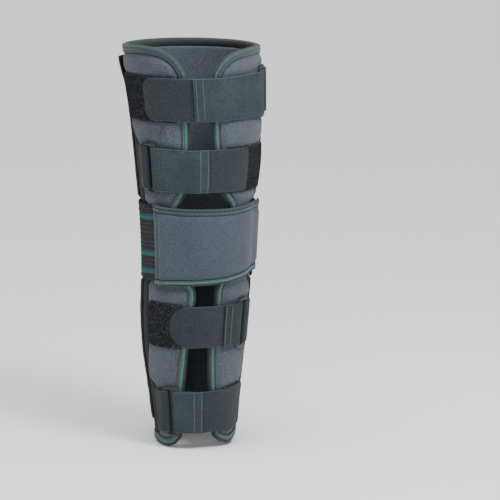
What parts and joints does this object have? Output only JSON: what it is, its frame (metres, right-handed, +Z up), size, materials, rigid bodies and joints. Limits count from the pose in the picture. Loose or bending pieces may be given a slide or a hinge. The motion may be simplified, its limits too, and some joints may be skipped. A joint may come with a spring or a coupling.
{
  "type": "knee immobilizer",
  "caption": "Long padded foam knee immobilizer closed as worn, a tapered tube with front straps on oblong rings, a knee pad and a ribbed elastic band.",
  "frame": {"origin": "in the middle of the hollow, level with the middle of the knee pad", "axes": "+Z up along the hollow, -Y the front, +X the inner side"},
  "size_m": [0.1757, 0.172, 0.4853],
  "materials": {
    "foam_laminate": "matte",
    "side_fabric": "matte",
    "binding_tape": "matte",
    "webbing": "satin",
    "hook_tab_fabric": "matte",
    "loop_fabric": "matte",
    "ring_plastic": "glossy",
    "pad_fabric": "matte",
    "elastic_web": "matte"
  },
  "bodies": {
    "root": {"wing_outer": "foam_laminate", "wing_binding_outer": "binding_tape", "side_panel_outer": "side_fabric", "stay_sleeve_outer": "side_fabric", "wing_inner": "foam_laminate", "wing_binding_inner": "binding_tape", "side_panel_inner": "side_fabric", "stay_sleeve_inner": "side_fabric", "back_panel": "foam_laminate", "back_binding_top": "binding_tape", "back_binding_bottom": "binding_tape", "loop_patch_1": "loop_fabric", "anchor_tab_1": "webbing", "ring_1": "ring_plastic", "webbing_strap_1": "webbing", "hook_tab_1": "hook_tab_fabric", "loop_patch_2": "loop_fabric", "anchor_tab_2": "webbing", "ring_2": "ring_plastic", "webbing_strap_2": "webbing", "hook_tab_2": "hook_tab_fabric", "loop_patch_3": "loop_fabric", "anchor_tab_3": "webbing", "ring_3": "ring_plastic", "webbing_strap_3": "webbing", "hook_tab_3": "hook_tab_fabric", "loop_patch_4": "loop_fabric", "anchor_tab_4": "webbing", "ring_4": "ring_plastic", "webbing_strap_4": "webbing", "hook_tab_4": "hook_tab_fabric", "knee_elastic": "elastic_web", "knee_pad": "pad_fabric", "knee_pad_binding_top": "binding_tape", "knee_pad_binding_bottom": "binding_tape"}
  },
  "joints": []
}
